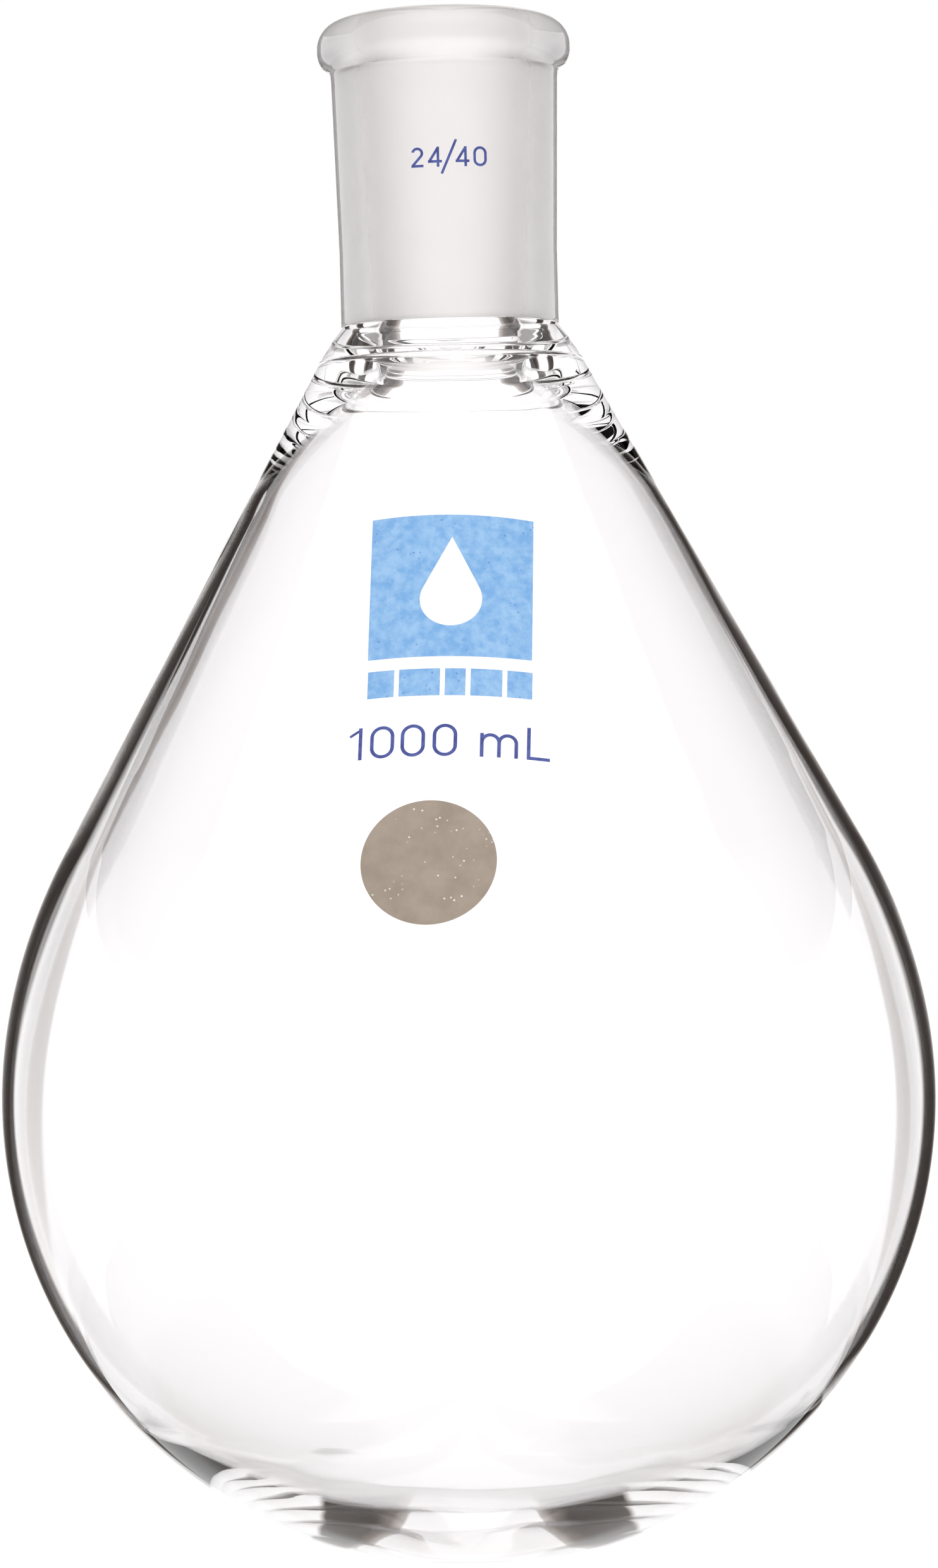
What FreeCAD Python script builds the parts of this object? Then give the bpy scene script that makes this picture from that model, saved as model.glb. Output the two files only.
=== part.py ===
import FreeCAD, Part
import math
import os
import Sketcher

# A one-litre pear-shaped evaporating flask with a 24/40 ground joint.
# The origin is the centre of the mouth, +Z points up and out of the mouth, and -Y is the printed side.
# Lengths are in millimetres and angles in degrees.  A depth is measured down from the mouth.

SIZES = {
    # ground joint: 24 mm wide at the mouth, 40 mm long, tapering 1 in 10
    "gauge_radius": 12.0,
    "ground_length": 40.0,
    "throat_radius": 10.0,
    "throat_end_depth": 43.0,
    "tube_end_depth": 41.0,
    "neck_top_radius": 15.15,
    "neck_low_radius": 14.55,
    "neck_straight_depth": 31.0,
    # rolled bead round the mouth
    "bead_radius": 16.9,
    "bead_round": 3.8,
    "bead_land": 0.5,
    "bead_under_round": 3.4,
    "rim_round": 0.9,
    # melted ring between the joint tube and the bulb
    "seal_end_depth": 45.7,
    "seal_crown_radius": 35.0,
    "seal_lip_radius": 2.0,
    "seal_lip_turn": 35.0,
    # blown bulb
    "bulb_radius": 62.15,
    "bulb_centre_depth": 143.7,
    "bulb_top_radius": 17.66,
    "shoulder_radius": 74.0,
    "cone_half_angle": 28.84,
    "inner_shoulder_radius": 82.0,
    "inner_cone_half_angle": 28.2,
    "flare_end_depth": 64.0,
    "wall": 1.95,
    "cavity_drop": 1.2,
    "floor_thickness": 3.3,
    "floor_radius": 56.0,
    "floor_reach": 14.0,
    "slope_radius": 110.0,
    "knuckle_radius": 50.0,
    # fired-on enamel prints
    "film": 0.05,
    "print_reach": 80.0,
    "emblem_depth": 76.8,
    "emblem_side": 20.9,
    "emblem_azimuth": -1.0,
    "decal_turn": -1.8,
    "strip_depth": 89.2,
    "strip_height": 3.9,
    "strip_azimuth": -1.5,
    "capacity_depth": 98.55,
    "capacity_azimuth": -1.7,
    "digit_height": 4.6,
    "spot_depth": 111.6,
    "spot_radius": 8.45,
    "spot_azimuth": -4.5,
    "joint_text_depth": 21.4,
    "joint_text_height": 2.6,
    "joint_text_azimuth": 1.7,
}

START = 1
END = 2
CENTRE = 3
ORIGIN = (-1, 1)


def make_sheet(doc):
    sheet = doc.addObject("Spreadsheet::Sheet", "Sizes")
    for row, (alias, value) in enumerate(SIZES.items(), start=1):
        sheet.set("A%d" % row, alias)
        sheet.set("B%d" % row, str(value))
        sheet.setAlias("B%d" % row, alias)
    doc.recompute()
    return sheet


def point(radius, height):
    return FreeCAD.Vector(radius, height, 0)


def polar(centre, radius, degrees):
    angle = math.radians(degrees)
    return centre + point(radius * math.cos(angle), radius * math.sin(angle))


def add_line(sketch, start, end):
    return sketch.addGeometry(Part.LineSegment(start, end), False)


def add_arc(sketch, centre, radius, start_degrees, end_degrees):
    circle = Part.Circle(centre, FreeCAD.Vector(0, 0, 1), radius)
    first = math.radians(start_degrees)
    last = math.radians(end_degrees)
    return sketch.addGeometry(Part.ArcOfCircle(circle, first, last), False)


def fix(sketch, kind, *refs):
    return sketch.addConstraint(Sketcher.Constraint(kind, *refs))


def drive(sketch, kind, refs, value, expression):
    index = fix(sketch, kind, *refs, value)
    sketch.setExpression("Constraints[%d]" % index, expression)


def drive_radius_at(sketch, geometry, vertex, value, expression):
    drive(sketch, "DistanceX", ORIGIN + (geometry, vertex), value, expression)


def drive_depth_at(sketch, geometry, vertex, value, expression):
    drive(sketch, "DistanceY", (geometry, vertex) + ORIGIN, value, expression)


def half_section(body, name):
    """An empty sketch on the body's own XZ plane: sketch x is the radius, sketch y is the height."""
    sketch = body.newObject("Sketcher::SketchObject", name)
    plane = next(item for item in body.Origin.OriginFeatures if item.Role == "XZ_Plane")
    sketch.AttachmentSupport = [(plane, "")]
    sketch.MapMode = "FlatFace"
    return sketch


def turn_solid(body, sketch, name):
    solid = body.newObject("PartDesign::Revolution", name)
    solid.Profile = sketch
    solid.ReferenceAxis = (sketch, ["V_Axis"])
    solid.Angle = 360.0
    return solid


# ---------------------------------------------------------------- joint socket

def draw_socket(sketch, v):
    """The joint tube's wall: bead, tapering outside, straight lower end and 1 in 10 ground bore."""
    bead_centre = point(v["bead_radius"] - v["bead_round"], -v["bead_round"])
    land_end = point(v["bead_radius"], -v["bead_round"] - v["bead_land"])
    under_centre = land_end - point(v["bead_under_round"], 0)
    under_turn = math.degrees(math.acos((v["neck_top_radius"] - under_centre.x) / v["bead_under_round"]))
    neck_start = polar(under_centre, v["bead_under_round"], -under_turn)
    neck_low = point(v["neck_low_radius"], -v["neck_straight_depth"])
    foot_out = point(v["neck_low_radius"], -v["tube_end_depth"])
    foot_in = point(v["throat_radius"], -v["tube_end_depth"])
    ground_end = point(v["throat_radius"], -v["ground_length"])
    mouth = point(v["gauge_radius"], 0)

    top = add_line(sketch, mouth, point(bead_centre.x, 0))
    roll = add_arc(sketch, bead_centre, v["bead_round"], 0, 90)
    land = add_line(sketch, point(v["bead_radius"], bead_centre.y), land_end)
    under = add_arc(sketch, under_centre, v["bead_under_round"], -under_turn, 0)
    neck = add_line(sketch, neck_start, neck_low)
    straight = add_line(sketch, neck_low, foot_out)
    foot = add_line(sketch, foot_out, foot_in)
    throat = add_line(sketch, foot_in, ground_end)
    ground = add_line(sketch, ground_end, mouth)

    fix(sketch, "Tangent", top, END, roll, END)
    fix(sketch, "Tangent", roll, START, land, START)
    fix(sketch, "Tangent", land, END, under, END)
    fix(sketch, "Coincident", under, START, neck, START)
    for first, second in ((neck, straight), (straight, foot), (foot, throat), (throat, ground), (ground, top)):
        fix(sketch, "Coincident", first, END, second, START)
    fix(sketch, "Horizontal", top)
    fix(sketch, "Vertical", land)
    fix(sketch, "Vertical", straight)
    fix(sketch, "Horizontal", foot)
    fix(sketch, "Vertical", throat)
    fix(sketch, "PointOnObject", top, START, -1)
    drive_radius_at(sketch, top, START, v["gauge_radius"], "Sizes.gauge_radius")
    drive(sketch, "Radius", (roll,), v["bead_round"], "Sizes.bead_round")
    drive_radius_at(sketch, land, END, v["bead_radius"], "Sizes.bead_radius")
    drive(sketch, "Distance", (land,), v["bead_land"], "Sizes.bead_land")
    drive(sketch, "Radius", (under,), v["bead_under_round"], "Sizes.bead_under_round")
    drive_radius_at(sketch, neck, START, v["neck_top_radius"], "Sizes.neck_top_radius")
    drive_radius_at(sketch, neck, END, v["neck_low_radius"], "Sizes.neck_low_radius")
    drive_depth_at(sketch, neck, END, v["neck_straight_depth"], "Sizes.neck_straight_depth")
    drive_depth_at(sketch, foot, START, v["tube_end_depth"], "Sizes.tube_end_depth")
    drive_radius_at(sketch, throat, START, v["throat_radius"], "Sizes.throat_radius")
    drive_depth_at(sketch, throat, END, v["ground_length"], "Sizes.ground_length")


def mouth_edge(shape, radius):
    """The sharp inner edge of the mouth, a circle of the gauge radius at height zero."""
    for number, edge in enumerate(shape.Edges, start=1):
        round_edge = isinstance(edge.Curve, Part.Circle)
        if round_edge and abs(edge.Curve.Radius - radius) < 1e-4 and abs(edge.Curve.Center.z) < 1e-4:
            return "Edge%d" % number
    raise RuntimeError("the mouth's inner edge was not found")


def make_joint_socket(doc, v):
    body = doc.addObject("PartDesign::Body", "JointSocket")
    body.Label = "joint_socket"
    sketch = half_section(body, "SocketWall")
    draw_socket(sketch, v)
    tube = turn_solid(body, sketch, "SocketTurn")
    doc.recompute()
    rim = body.newObject("PartDesign::Fillet", "RimRound")
    rim.Base = (tube, [mouth_edge(tube.Shape, v["gauge_radius"])])
    rim.Radius = v["rim_round"]
    rim.setExpression("Radius", "Sizes.rim_round")
    body.Tip = rim
    return body


# ---------------------------------------------------------------- fused seal

def draw_seal(sketch, v):
    """The melted ring: it swells out from the tube to the cone, and its lip rounds into the cavity."""
    tube_out = point(v["neck_low_radius"], -v["tube_end_depth"])
    bulb_out = point(v["bulb_top_radius"], -v["seal_end_depth"])
    chord = tube_out - bulb_out
    middle = (tube_out + bulb_out) * 0.5
    drop = math.sqrt(v["seal_crown_radius"] ** 2 - (chord.Length / 2) ** 2)
    crown_centre = middle - point(chord.y, -chord.x) * (drop / chord.Length)
    from_centre = bulb_out - crown_centre
    crown_start = math.degrees(math.atan2(from_centre.y, from_centre.x))
    from_centre = tube_out - crown_centre
    crown_end = math.degrees(math.atan2(from_centre.y, from_centre.x))
    lip_centre, lip_end, corner = seal_corner(v)
    tube_in = point(v["throat_radius"], -v["tube_end_depth"])
    throat_end = point(v["throat_radius"], -v["throat_end_depth"])

    crown = add_arc(sketch, crown_centre, v["seal_crown_radius"], crown_start, crown_end)
    top = add_line(sketch, tube_out, tube_in)
    throat = add_line(sketch, tube_in, throat_end)
    lip = add_arc(sketch, lip_centre, v["seal_lip_radius"], 180, 180 + v["seal_lip_turn"])
    flare = add_line(sketch, lip_end, corner)
    foot = add_line(sketch, corner, bulb_out)

    fix(sketch, "Coincident", crown, END, top, START)
    fix(sketch, "Coincident", top, END, throat, START)
    fix(sketch, "Tangent", throat, END, lip, START)
    fix(sketch, "Tangent", lip, END, flare, START)
    fix(sketch, "Coincident", flare, END, foot, START)
    fix(sketch, "Coincident", foot, END, crown, START)
    fix(sketch, "Horizontal", top)
    fix(sketch, "Vertical", throat)
    fix(sketch, "Horizontal", foot)
    drive_radius_at(sketch, top, START, v["neck_low_radius"], "Sizes.neck_low_radius")
    drive_depth_at(sketch, top, START, v["tube_end_depth"], "Sizes.tube_end_depth")
    drive_radius_at(sketch, throat, START, v["throat_radius"], "Sizes.throat_radius")
    drive_depth_at(sketch, throat, END, v["throat_end_depth"], "Sizes.throat_end_depth")
    drive(sketch, "Radius", (lip,), v["seal_lip_radius"], "Sizes.seal_lip_radius")
    drive(sketch, "Angle", (flare,), math.radians(v["seal_lip_turn"] - 90), "(Sizes.seal_lip_turn - 90) * 1 deg")
    drive_depth_at(sketch, foot, END, v["seal_end_depth"], "Sizes.seal_end_depth")
    drive_radius_at(sketch, foot, END, v["bulb_top_radius"], "Sizes.bulb_top_radius")
    drive(sketch, "Radius", (crown,), v["seal_crown_radius"], "Sizes.seal_crown_radius")


def make_fused_seal(doc, v):
    body = doc.addObject("PartDesign::Body", "FusedSeal")
    body.Label = "fused_seal"
    sketch = half_section(body, "SealWall")
    draw_seal(sketch, v)
    turn_solid(body, sketch, "SealTurn")
    return body


# ---------------------------------------------------------------- bulb

def shoulder_centre(v):
    """Centre of the shoulder arc, which touches both the cone and the round of the bulb."""
    lean = math.radians(v["cone_half_angle"])
    drop = v["bulb_centre_depth"] - v["seal_end_depth"]
    cone_distance = v["bulb_top_radius"] * math.cos(lean) + drop * math.sin(lean)
    offset = v["shoulder_radius"] - v["bulb_radius"]
    lift = v["cone_half_angle"] - math.degrees(math.acos((v["shoulder_radius"] - cone_distance) / offset))
    centre = polar(point(0, -v["bulb_centre_depth"]), -offset, lift)
    return centre, lift


def draw_outside(sketch, v):
    """Round bottom, shoulder and straight cone of the bulb, from the lowest point up to the seal."""
    lean = v["cone_half_angle"]
    ball_centre = point(0, -v["bulb_centre_depth"])
    wide_centre, lift = shoulder_centre(v)
    cone_start = polar(wide_centre, v["shoulder_radius"], lean)
    cone_end = point(v["bulb_top_radius"], -v["seal_end_depth"])

    ball = add_arc(sketch, ball_centre, v["bulb_radius"], -90, lift)
    shoulder = add_arc(sketch, wide_centre, v["shoulder_radius"], lift, lean)
    cone = add_line(sketch, cone_start, cone_end)

    fix(sketch, "PointOnObject", ball, CENTRE, -2)
    fix(sketch, "PointOnObject", ball, START, -2)
    fix(sketch, "Tangent", ball, END, shoulder, START)
    fix(sketch, "Tangent", shoulder, END, cone, START)
    drive(sketch, "Radius", (ball,), v["bulb_radius"], "Sizes.bulb_radius")
    drive_depth_at(sketch, ball, CENTRE, v["bulb_centre_depth"], "Sizes.bulb_centre_depth")
    drive(sketch, "Radius", (shoulder,), v["shoulder_radius"], "Sizes.shoulder_radius")
    drive(sketch, "Angle", (cone,), math.radians(90 + lean), "(90 + Sizes.cone_half_angle) * 1 deg")
    drive_radius_at(sketch, cone, END, v["bulb_top_radius"], "Sizes.bulb_top_radius")
    drive_depth_at(sketch, cone, END, v["seal_end_depth"], "Sizes.seal_end_depth")
    return ball, shoulder, cone


def angle_of(centre, place):
    return math.degrees(math.atan2(place.y - centre.y, place.x - centre.x))


def knuckle_centre(v, slope_centre, cavity_centre):
    """Centre of the arc that touches the floor's slope and the round of the cavity from inside."""
    from_slope = v["slope_radius"] - v["knuckle_radius"]
    from_cavity = v["bulb_radius"] - v["wall"] - v["knuckle_radius"]
    toward = cavity_centre - slope_centre
    apart = toward.Length
    toward.normalize()
    along = (from_slope ** 2 - from_cavity ** 2 + apart ** 2) / (2 * apart)
    across = math.sqrt(from_slope ** 2 - along ** 2)
    return slope_centre + toward * along + point(-toward.y, toward.x) * across


def seal_corner(v):
    """The lip's centre and end, and the corner where its flare meets the cavity of the bulb."""
    lip_centre = point(v["throat_radius"] + v["seal_lip_radius"], -v["throat_end_depth"])
    lip_end = polar(lip_centre, v["seal_lip_radius"], 180 + v["seal_lip_turn"])
    away = math.radians(v["seal_lip_turn"])
    reach = (v["seal_end_depth"] + lip_end.y) / math.cos(away)
    return lip_centre, lip_end, lip_end + point(math.sin(away), -math.cos(away)) * reach


def draw_floor(sketch, v, ball, cavity_centre):
    """The thick floor, the slope that thins it outwards, and the knuckle up into the round cavity."""
    lowest = point(0, -v["bulb_centre_depth"] - v["bulb_radius"])
    floor_low = lowest + point(0, v["floor_thickness"])
    floor_centre = floor_low + point(0, v["floor_radius"])
    floor_turn = math.degrees(math.asin(v["floor_reach"] / v["floor_radius"])) - 90
    slope_centre = polar(floor_centre, v["floor_radius"] - v["slope_radius"], floor_turn)
    bend_centre = knuckle_centre(v, slope_centre, cavity_centre)
    slope_turn = angle_of(slope_centre, bend_centre)
    knuckle_turn = angle_of(cavity_centre, bend_centre)

    base = add_line(sketch, lowest, floor_low)
    floor = add_arc(sketch, floor_centre, v["floor_radius"], -90, floor_turn)
    slope = add_arc(sketch, slope_centre, v["slope_radius"], floor_turn, slope_turn)
    knuckle = add_arc(sketch, bend_centre, v["knuckle_radius"], slope_turn, knuckle_turn)

    fix(sketch, "Coincident", base, START, ball, START)
    fix(sketch, "Vertical", base)
    drive(sketch, "Distance", (base,), v["floor_thickness"], "Sizes.floor_thickness")
    fix(sketch, "Coincident", floor, START, base, END)
    fix(sketch, "PointOnObject", floor, CENTRE, -2)
    drive(sketch, "Radius", (floor,), v["floor_radius"], "Sizes.floor_radius")
    drive_radius_at(sketch, floor, END, v["floor_reach"], "Sizes.floor_reach")
    fix(sketch, "Tangent", floor, END, slope, START)
    drive(sketch, "Radius", (slope,), v["slope_radius"], "Sizes.slope_radius")
    fix(sketch, "Tangent", slope, END, knuckle, START)
    drive(sketch, "Radius", (knuckle,), v["knuckle_radius"], "Sizes.knuckle_radius")
    return knuckle, knuckle_turn


def draw_inside(sketch, v, ball, cone):
    """The cavity: floor, thin lower wall, thicker shoulder, then a wall thinning up the cone to the flare."""
    cavity_centre = point(0, -v["bulb_centre_depth"] - v["cavity_drop"])
    knuckle, knuckle_turn = draw_floor(sketch, v, ball, cavity_centre)
    lift = shoulder_centre(v)[1]
    inner_radius = v["bulb_radius"] - v["wall"]
    wide_centre = polar(cavity_centre, inner_radius - v["inner_shoulder_radius"], lift)
    lean = v["inner_cone_half_angle"]
    cone_low = polar(wide_centre, v["inner_shoulder_radius"], lean)
    rise = -v["flare_end_depth"] - cone_low.y
    cone_high = cone_low + point(-rise * math.tan(math.radians(lean)), rise)
    corner = seal_corner(v)[2]
    inward = polar(point(0, 0), -1, lean)
    chord = corner - cone_high
    flare_radius = chord.Length ** 2 / (2 * chord.dot(inward))
    flare_centre = cone_high + inward * flare_radius
    rim_out = point(v["bulb_top_radius"], -v["seal_end_depth"])

    inner_ball = add_arc(sketch, cavity_centre, inner_radius, knuckle_turn, lift)
    inner_wide = add_arc(sketch, wide_centre, v["inner_shoulder_radius"], lift, lean)
    inner_cone = add_line(sketch, cone_low, cone_high)
    flare = add_arc(sketch, flare_centre, flare_radius, lean, angle_of(flare_centre, corner))
    rim = add_line(sketch, corner, rim_out)

    fix(sketch, "Tangent", knuckle, END, inner_ball, START)
    fix(sketch, "PointOnObject", inner_ball, CENTRE, -2)
    drive(sketch, "DistanceY", (inner_ball, CENTRE, ball, CENTRE), v["cavity_drop"], "Sizes.cavity_drop")
    drive(sketch, "Radius", (inner_ball,), inner_radius, "Sizes.bulb_radius - Sizes.wall")
    fix(sketch, "Tangent", inner_ball, END, inner_wide, START)
    drive(sketch, "Radius", (inner_wide,), v["inner_shoulder_radius"], "Sizes.inner_shoulder_radius")
    drive_depth_at(
        sketch, inner_wide, START, -cavity_centre.y - inner_radius * math.sin(math.radians(lift)),
        "Sizes.bulb_centre_depth + Sizes.cavity_drop - %.6f * (Sizes.bulb_radius - Sizes.wall)"
        % math.sin(math.radians(lift)))
    fix(sketch, "Tangent", inner_wide, END, inner_cone, START)
    turned = math.radians(90 + lean)
    drive(sketch, "Angle", (inner_cone,), turned, "(90 + Sizes.inner_cone_half_angle) * 1 deg")
    drive_depth_at(sketch, inner_cone, END, v["flare_end_depth"], "Sizes.flare_end_depth")
    fix(sketch, "Tangent", inner_cone, END, flare, START)
    fix(sketch, "Coincident", flare, END, rim, START)
    drive_radius_at(sketch, rim, START, corner.x, seal_corner_rule())
    fix(sketch, "Coincident", rim, END, cone, END)
    fix(sketch, "Horizontal", rim)


def seal_corner_rule():
    """The seal corner's radius as an expression of the sheet's sizes."""
    turn = "(Sizes.seal_lip_turn * 1 deg)"
    lip_x = "Sizes.throat_radius + Sizes.seal_lip_radius * (1 - cos(%s))" % turn
    drop = "(Sizes.seal_end_depth - Sizes.throat_end_depth - Sizes.seal_lip_radius * sin(%s))" % turn
    return "%s + %s * tan(%s)" % (lip_x, drop, turn)


def make_pear_bulb(doc, v):
    body = doc.addObject("PartDesign::Body", "PearBulb")
    body.Label = "pear_bulb"
    sketch = half_section(body, "BulbWall")
    ball, _, cone = draw_outside(sketch, v)
    draw_inside(sketch, v, ball, cone)
    turn_solid(body, sketch, "BulbTurn")
    return body


# ---------------------------------------------------------------- enamel films

def make_bulb_film(doc, v):
    """A skin one print thick over the whole outside of the bulb, from which the prints are cut."""
    body = doc.addObject("PartDesign::Body", "BulbFilm")
    sketch = half_section(body, "FilmSection")
    ball, shoulder, cone = draw_outside(sketch, v)
    ball_centre = point(0, -v["bulb_centre_depth"])
    wide_centre, lift = shoulder_centre(v)
    lean = v["cone_half_angle"]
    film_ball = v["bulb_radius"] + v["film"]
    film_wide = v["shoulder_radius"] + v["film"]
    cone_low = polar(wide_centre, film_wide, lean)
    rise = -v["seal_end_depth"] - cone_low.y
    cone_high = cone_low + point(-rise * math.tan(math.radians(lean)), rise)
    lowest = ball_centre - point(0, v["bulb_radius"])

    base = add_line(sketch, lowest, lowest - point(0, v["film"]))
    outer_ball = add_arc(sketch, ball_centre, film_ball, -90, lift)
    outer_wide = add_arc(sketch, wide_centre, film_wide, lift, lean)
    outer_cone = add_line(sketch, cone_low, cone_high)
    rim = add_line(sketch, cone_high, point(v["bulb_top_radius"], -v["seal_end_depth"]))

    fix(sketch, "Coincident", base, START, ball, START)
    fix(sketch, "Vertical", base)
    fix(sketch, "Coincident", base, END, outer_ball, START)
    fix(sketch, "Coincident", outer_ball, CENTRE, ball, CENTRE)
    drive(sketch, "Radius", (outer_ball,), film_ball, "Sizes.bulb_radius + Sizes.film")
    fix(sketch, "Tangent", outer_ball, END, outer_wide, START)
    fix(sketch, "Coincident", outer_wide, CENTRE, shoulder, CENTRE)
    fix(sketch, "Tangent", outer_wide, END, outer_cone, START)
    fix(sketch, "Parallel", outer_cone, cone)
    fix(sketch, "Coincident", outer_cone, END, rim, START)
    fix(sketch, "Coincident", rim, END, cone, END)
    fix(sketch, "Horizontal", rim)
    turn_solid(body, sketch, "FilmTurn")
    return body


def make_neck_film(doc, v):
    """A skin one print thick over the tapering part of the neck."""
    skins = []
    for name, grow in (("NeckFilmOuter", "Sizes.film"), ("NeckFilmInner", "0")):
        cone = doc.addObject("Part::Cone", name)
        cone.setExpression("Radius1", "Sizes.neck_low_radius + " + grow)
        cone.setExpression("Radius2", "Sizes.neck_top_radius + " + grow)
        cone.setExpression("Height", "Sizes.neck_straight_depth - " + str(neck_start_depth(v)))
        cone.setExpression("Placement.Base.z", "-Sizes.neck_straight_depth")
        skins.append(cone)
    film = doc.addObject("Part::Cut", "NeckFilm")
    film.Base = skins[0]
    film.Tool = skins[1]
    return film


def neck_start_depth(v):
    """Depth at which the underside of the bead meets the neck."""
    under_centre = v["bead_radius"] - v["bead_under_round"]
    across = v["neck_top_radius"] - under_centre
    return v["bead_round"] + v["bead_land"] + math.sqrt(v["bead_under_round"] ** 2 - across ** 2)


# ---------------------------------------------------------------- print outlines
# Outlines are drawn face on, in the XZ plane, and then laid on the glass by cutting them from the film.

def bar(start, end, stroke):
    """A straight stroke between two (x, z) points, with square ends."""
    first = FreeCAD.Vector(start[0], 0, start[1])
    last = FreeCAD.Vector(end[0], 0, end[1])
    along = (last - first).normalize()
    side = FreeCAD.Vector(-along.z, 0, along.x) * (stroke / 2)
    corners = [first - side, last - side, last + side, first + side, first - side]
    return Part.Face(Part.makePolygon(corners))


def disc(centre, radius):
    circle = Part.Circle(FreeCAD.Vector(centre[0], 0, centre[1]), FreeCAD.Vector(0, -1, 0), radius)
    return Part.Face(Part.Wire(circle.toShape()))


def arch(centre, radius, stroke, start_degrees, end_degrees):
    """A round stroke about an (x, z) centre, anticlockwise from one angle to the other."""
    rings = []
    for edge_radius in (radius + stroke / 2, radius - stroke / 2):
        middle_degrees = (start_degrees + end_degrees) / 2
        stops = []
        for degrees in (start_degrees, middle_degrees, end_degrees):
            angle = math.radians(degrees)
            x = centre[0] + edge_radius * math.cos(angle)
            z = centre[1] + edge_radius * math.sin(angle)
            stops.append(FreeCAD.Vector(x, 0, z))
        rings.append(stops)
    outer, inner = rings
    edges = [
        Part.Arc(*outer).toShape(),
        Part.makeLine(outer[2], inner[2]),
        Part.Arc(*reversed(inner)).toShape(),
        Part.makeLine(inner[0], outer[0]),
    ]
    return Part.Face(Part.Wire(edges))


def joined(faces):
    """One face from flat strokes that touch or cross."""
    first, *others = faces
    merged = Part.Shell(first.multiFuse(others).Faces).removeSplitter()
    if len(merged.Faces) != 1:
        raise RuntimeError("the strokes of a glyph don't join into one face")
    return merged.Faces[0]


def glyph_zero(height, width, stroke):
    """A round-ended loop."""
    radius = (width - stroke) / 2
    middle = width / 2
    low = width / 2
    high = height - width / 2
    return joined([
        arch((middle, high), radius, stroke, 0, 180),
        arch((middle, low), radius, stroke, 180, 360),
        bar((stroke / 2, low), (stroke / 2, high), stroke),
        bar((width - stroke / 2, low), (width - stroke / 2, high), stroke),
    ])


def glyph_one(height, width, stroke):
    stem = width - stroke / 2
    return joined([
        bar((stem, 0), (stem, height), stroke),
        bar((0, height * 0.75), (stem, height * 0.93), stroke * 0.8),
    ])


def glyph_two(height, width, stroke):
    radius = (width - stroke) / 2
    bowl = (width / 2, height - width / 2)
    turn = math.radians(-40)
    tail = (bowl[0] + radius * math.cos(turn), bowl[1] + radius * math.sin(turn))
    return joined([
        arch(bowl, radius, stroke, -42, 165),
        bar(tail, (stroke * 0.5, stroke * 0.7), stroke),
        bar((0, stroke / 2), (width, stroke / 2), stroke),
    ])


def glyph_four(height, width, stroke):
    stem = width * 0.72
    shelf = height * 0.27
    return joined([
        bar((stem, 0), (stem, height), stroke),
        bar((0, shelf), (width, shelf), stroke),
        bar((stroke * 0.6, shelf + stroke * 0.15), (stem, height - stroke * 0.4), stroke),
    ])


def glyph_slash(height, width, stroke):
    overshoot = height * 0.35
    return bar((0, -overshoot), (width, height + overshoot), stroke)


def glyph_m(height, width, stroke):
    """Lower-case m, a little over two thirds of the digit height."""
    x_height = height * 0.74
    radius = (width - stroke) / 4
    spring = x_height - radius - stroke / 2
    strokes = [bar((stroke / 2, 0), (stroke / 2, x_height), stroke)]
    for count in (1, 2):
        stem = stroke / 2 + 2 * radius * count
        strokes.append(arch((stem - radius, spring), radius, stroke, 0, 180))
        strokes.append(bar((stem, 0), (stem, spring), stroke))
    return joined(strokes)


def glyph_l(height, width, stroke):
    return joined([
        bar((stroke / 2, 0), (stroke / 2, height), stroke),
        bar((0, stroke / 2), (width, stroke / 2), stroke),
    ])


def wrapped(across, up, depth, v):
    """Where a point of a flat decal lies, seen face on, once the decal is wrapped round the cone.

    The decal's origin is on the cone at the given depth, and the decal is a little askew.
    """
    skew = math.radians(v["decal_turn"])
    across, up = (across * math.cos(skew) - up * math.sin(skew), across * math.sin(skew) + up * math.cos(skew))
    lean = math.radians(v["cone_half_angle"])
    radius = v["bulb_top_radius"] + (depth - v["seal_end_depth"]) * math.tan(lean)
    slant = radius / math.sin(lean)
    apex_depth = depth - slant * math.cos(lean)
    reach = math.hypot(slant - up, across)
    azimuth = math.atan2(across, slant - up) / math.sin(lean)
    return FreeCAD.Vector(reach * math.sin(lean) * math.sin(azimuth), 0, -apex_depth - reach * math.cos(lean))


def wrapped_edges(edge, depth, v):
    """One flat edge laid on the cone, as arcs of at most an eighth of a turn."""
    pieces = 1
    if isinstance(edge.Curve, Part.Circle):
        pieces = math.ceil((edge.LastParameter - edge.FirstParameter) / (math.pi / 4))
    step = (edge.LastParameter - edge.FirstParameter) / pieces
    laid = []
    for number in range(pieces):
        first = edge.FirstParameter + number * step
        stops = []
        for share in (0, 0.5, 1):
            spot = edge.valueAt(first + share * step)
            stops.append(wrapped(spot.x, spot.z, depth, v))
        bow = (stops[2] - stops[0]).cross(stops[1] - stops[0]).Length
        laid.append(Part.makeLine(stops[0], stops[2]) if bow < 1e-5 else Part.Arc(*stops).toShape())
    return laid


def wrap_face(face, depth, v):
    """A flat outline laid on the cone, holes included."""
    wires = []
    for wire in face.Wires:
        edges = []
        for edge in wire.OrderedEdges:
            edges += wrapped_edges(edge, depth, v)
        wires.append(Part.Wire(Part.__sortEdges__(edges)))
    outer, *holes = sorted(wires, key=lambda wire: wire.BoundBox.DiagonalLength, reverse=True)
    laid = Part.Face(outer)
    return laid.cut([Part.Face(hole) for hole in holes]).Faces[0] if holes else laid


def row_of(glyphs, draw):
    """Faces of a centred row; each glyph is its width, the space after it, and what draw needs."""
    total = sum(width + space for width, space, *rest in glyphs)
    faces = []
    left = -total / 2
    for width, space, *rest in glyphs:
        face = draw(width, *rest)
        face.translate(FreeCAD.Vector(left, 0, 0))
        faces.append(face)
        left += width + space
    return faces


# ---------------------------------------------------------------- prints

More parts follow.
